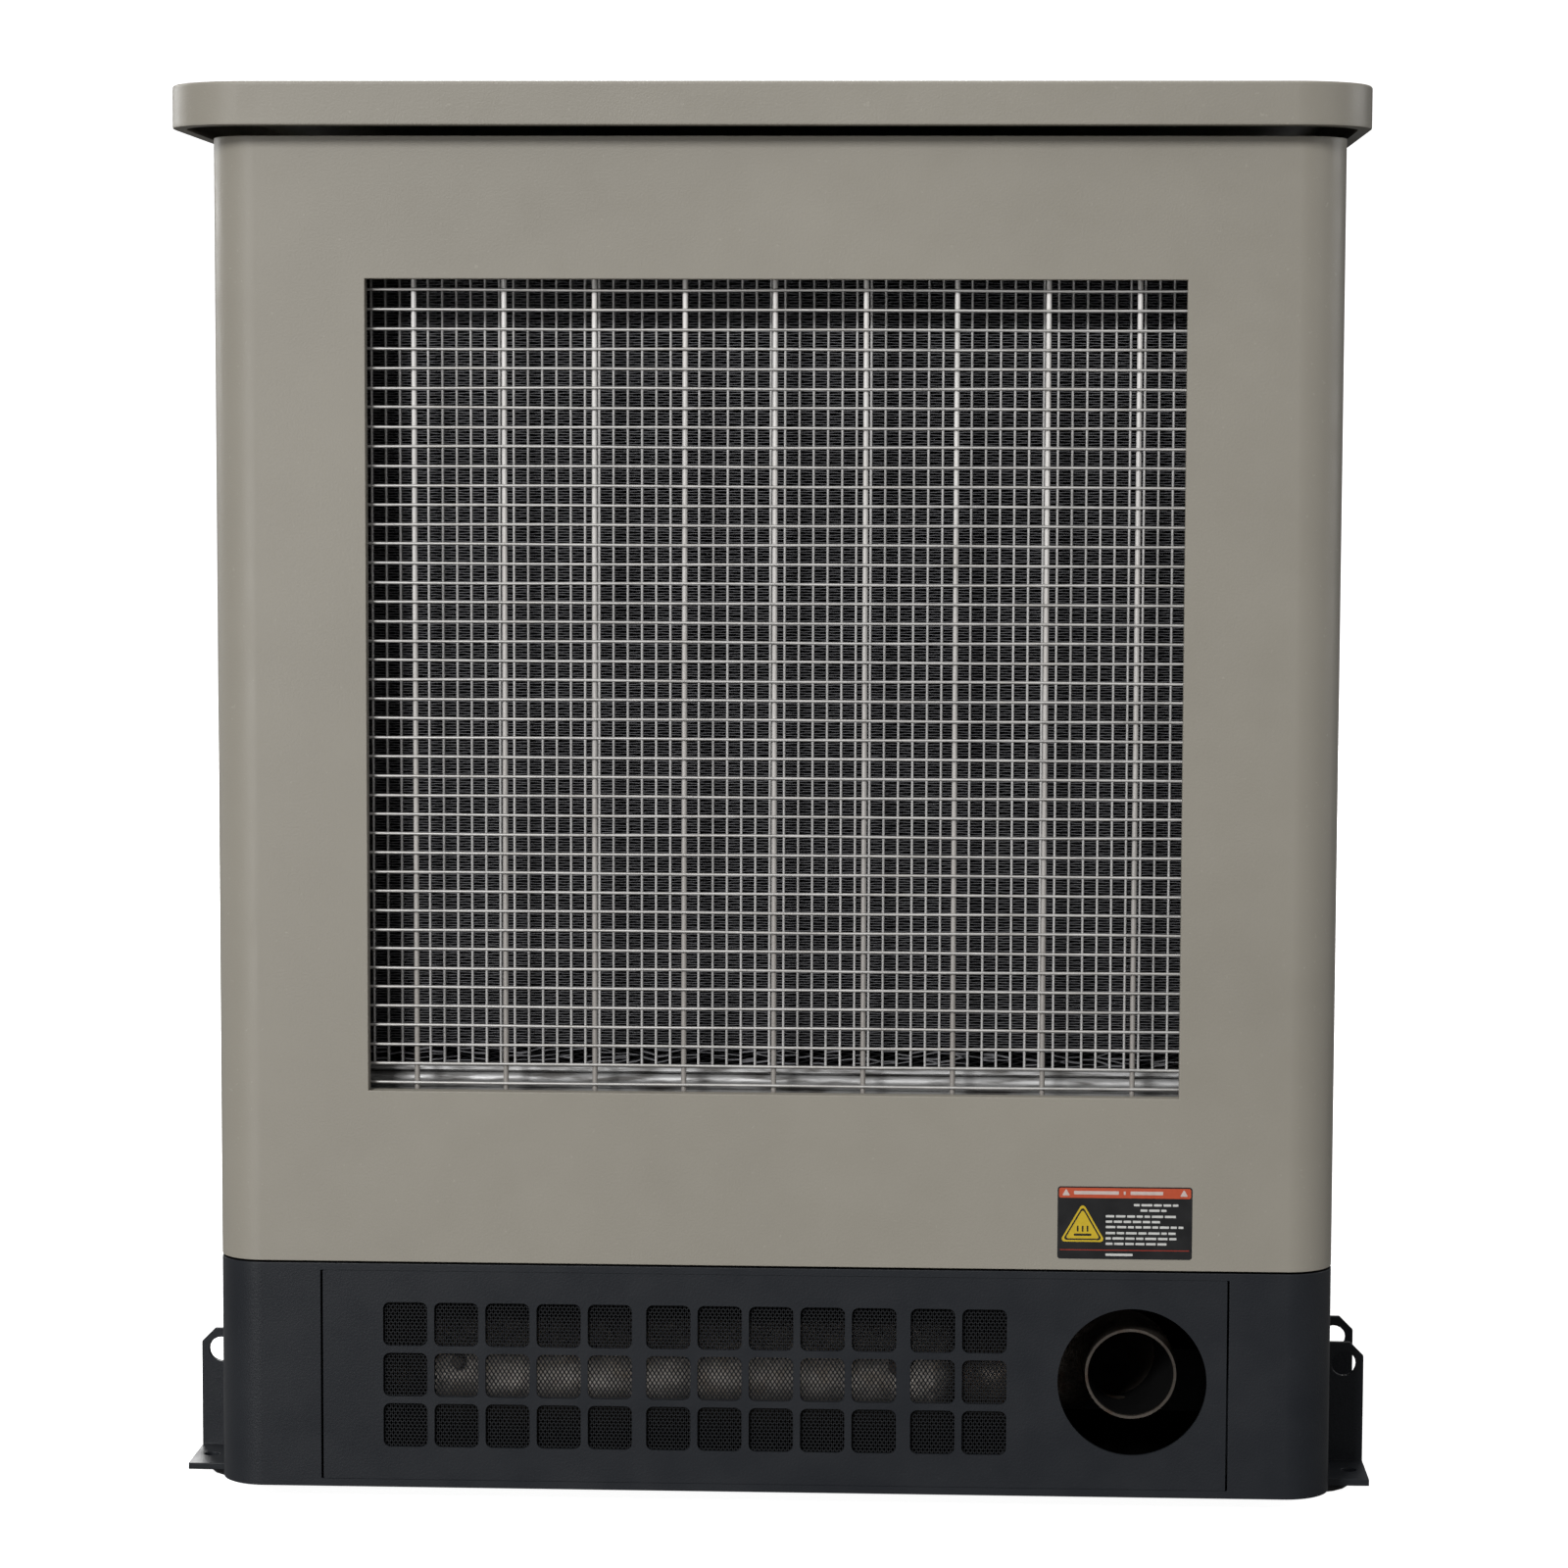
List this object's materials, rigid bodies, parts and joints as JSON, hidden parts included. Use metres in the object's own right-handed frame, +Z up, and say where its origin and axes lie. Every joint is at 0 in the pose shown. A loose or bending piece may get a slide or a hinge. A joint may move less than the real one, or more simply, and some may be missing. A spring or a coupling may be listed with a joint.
{
  "type": "home standby generator",
  "caption": "Enclosed liquid-cooled standby generator set: taupe cabinet with a guarded radiator end, dark vented plinth with exhaust outlet, and lifting brackets.",
  "frame": {"origin": "middle of the footprint, on the ground", "axes": "+Z up, -Y is the radiator end that faces the viewer, +X is the viewer's right"},
  "size_m": [0.898, 1.748, 1.05],
  "materials": {
    "taupe_paint": "satin powder coat",
    "dark_paint": "satin powder coat",
    "bright_wire": "bright zinc plate",
    "bare_aluminium": "as made, weathered",
    "exhaust_steel": "heat tinted",
    "engine_iron": "dark enamel",
    "rubber": "matt",
    "black_plastic": "matt",
    "red_plastic": "gloss"
  },
  "bodies": {
    "base": {"air_cleaner": "black_plastic", "alternator_housing": "engine_iron", "base_frame": "dark_paint", "battery": "black_plastic", "control_box": "dark_paint", "cylinder_head": "bare_aluminium", "engine_block": "engine_iron", "exhaust_downpipe": "exhaust_steel", "exhaust_manifold": "exhaust_steel", "fan_belt": "rubber", "fan_shroud": "black_plastic", "foot_pad_front_left": "rubber", "foot_pad_front_right": "rubber", "foot_pad_rear_left": "rubber", "foot_pad_rear_right": "rubber", "front_panel": "taupe_paint", "fuel_inlet_pipe": "exhaust_steel", "fuel_regulator": "bare_aluminium", "hinge_left": "bright_wire", "hinge_right": "bright_wire", "lift_bracket_front_left": "dark_paint", "lift_bracket_front_right": "dark_paint", "lift_bracket_rear_left": "dark_paint", "lift_bracket_rear_right": "dark_paint", "lower_hose": "rubber", "muffler": "exhaust_steel", "oil_filter": "black_plastic", "oil_pan": "dark_paint", "plinth_front": "dark_paint", "plinth_rear": "dark_paint", "plinth_side_left": "dark_paint", "plinth_side_right": "dark_paint", "radiator_bottom_tank": "bare_aluminium", "radiator_core": "bare_aluminium", "radiator_guard": "bright_wire", "radiator_top_tank": "bare_aluminium", "rear_panel": "taupe_paint", "roof_hinge": "bright_wire", "tail_pipe": "exhaust_steel", "top_rail_left": "dark_paint", "top_rail_right": "dark_paint", "upper_hose": "rubber", "valve_cover": "black_plastic", "vent_mesh": "dark_paint", "vent_panel": "dark_paint", "water_pump": "engine_iron"},
    "door_left": {"door_left": "taupe_paint"},
    "door_right": {"door_right": "taupe_paint"},
    "latch_left": {"latch_left": "black_plastic"},
    "latch_right": {"latch_right": "black_plastic"},
    "roof": {"roof": "taupe_paint"},
    "crank": {"crankshaft": "bright_wire", "crank_pulley": "engine_iron", "alternator_rotor": "engine_iron"},
    "fan": {"fan": "black_plastic", "fan_pulley": "engine_iron"},
    "radiator_cap": {"radiator_cap": "bare_aluminium"},
    "dipstick": {"dipstick": "bright_wire"},
    "stop_button": {"stop_button": "red_plastic"},
    "breaker_lever": {"breaker_lever": "black_plastic"}
  },
  "joints": [
    {"name": "door_right_hinge", "type": "hinge", "parent": "base", "child": "door_right", "pos_m": [0.4195, 0.787, 0.6], "axis": [0, 0, 1], "range_deg": [0, 110]},
    {"name": "door_left_hinge", "type": "hinge", "parent": "base", "child": "door_left", "pos_m": [-0.4195, 0.787, 0.6], "axis": [0, 0, -1], "range_deg": [0, 110]},
    {"name": "latch_right_turn", "type": "hinge", "parent": "door_right", "child": "latch_right", "pos_m": [0.4153, -0.52, 0.6], "axis": [1, 0, 0], "range_deg": [0, 90]},
    {"name": "latch_left_turn", "type": "hinge", "parent": "door_left", "child": "latch_left", "pos_m": [-0.4153, -0.52, 0.6], "axis": [1, 0, 0], "range_deg": [0, 90]},
    {"name": "roof_lift", "type": "hinge", "parent": "base", "child": "roof", "pos_m": [-0.4255, 0, 1.0142], "axis": [0, -1, 0], "range_deg": [0, 75]},
    {"name": "crank_spin", "type": "hinge", "parent": "base", "child": "crank", "pos_m": [0, 0, 0.34], "axis": [0, 1, 0], "continuous": true},
    {"name": "fan_spin", "type": "hinge", "parent": "base", "child": "fan", "pos_m": [0, -0.65, 0.62], "axis": [0, 1, 0], "continuous": true},
    {"name": "cap_turn", "type": "hinge", "parent": "base", "child": "radiator_cap", "pos_m": [-0.2, -0.7675, 0.9905], "axis": [0, 0, 1], "range_deg": [0, 90]},
    {"name": "dipstick_pull", "type": "slide", "parent": "base", "child": "dipstick", "axis": [0, 0, 1], "range_m": [0, 0.2]},
    {"name": "stop_push", "type": "slide", "parent": "base", "child": "stop_button", "axis": [-1, 0, 0], "range_m": [0, 0.006], "stiffness_N_per_m": 300, "springref_m": -0.002},
    {"name": "breaker_toggle", "type": "hinge", "parent": "base", "child": "breaker_lever", "pos_m": [0.371, 0.15, 0.68], "axis": [0, 1, 0], "range_deg": [0, 50]}
  ],
  "couplings": [
    {"joint": "fan_spin", "follows": "crank_spin", "ratio": 1.2069}
  ]
}
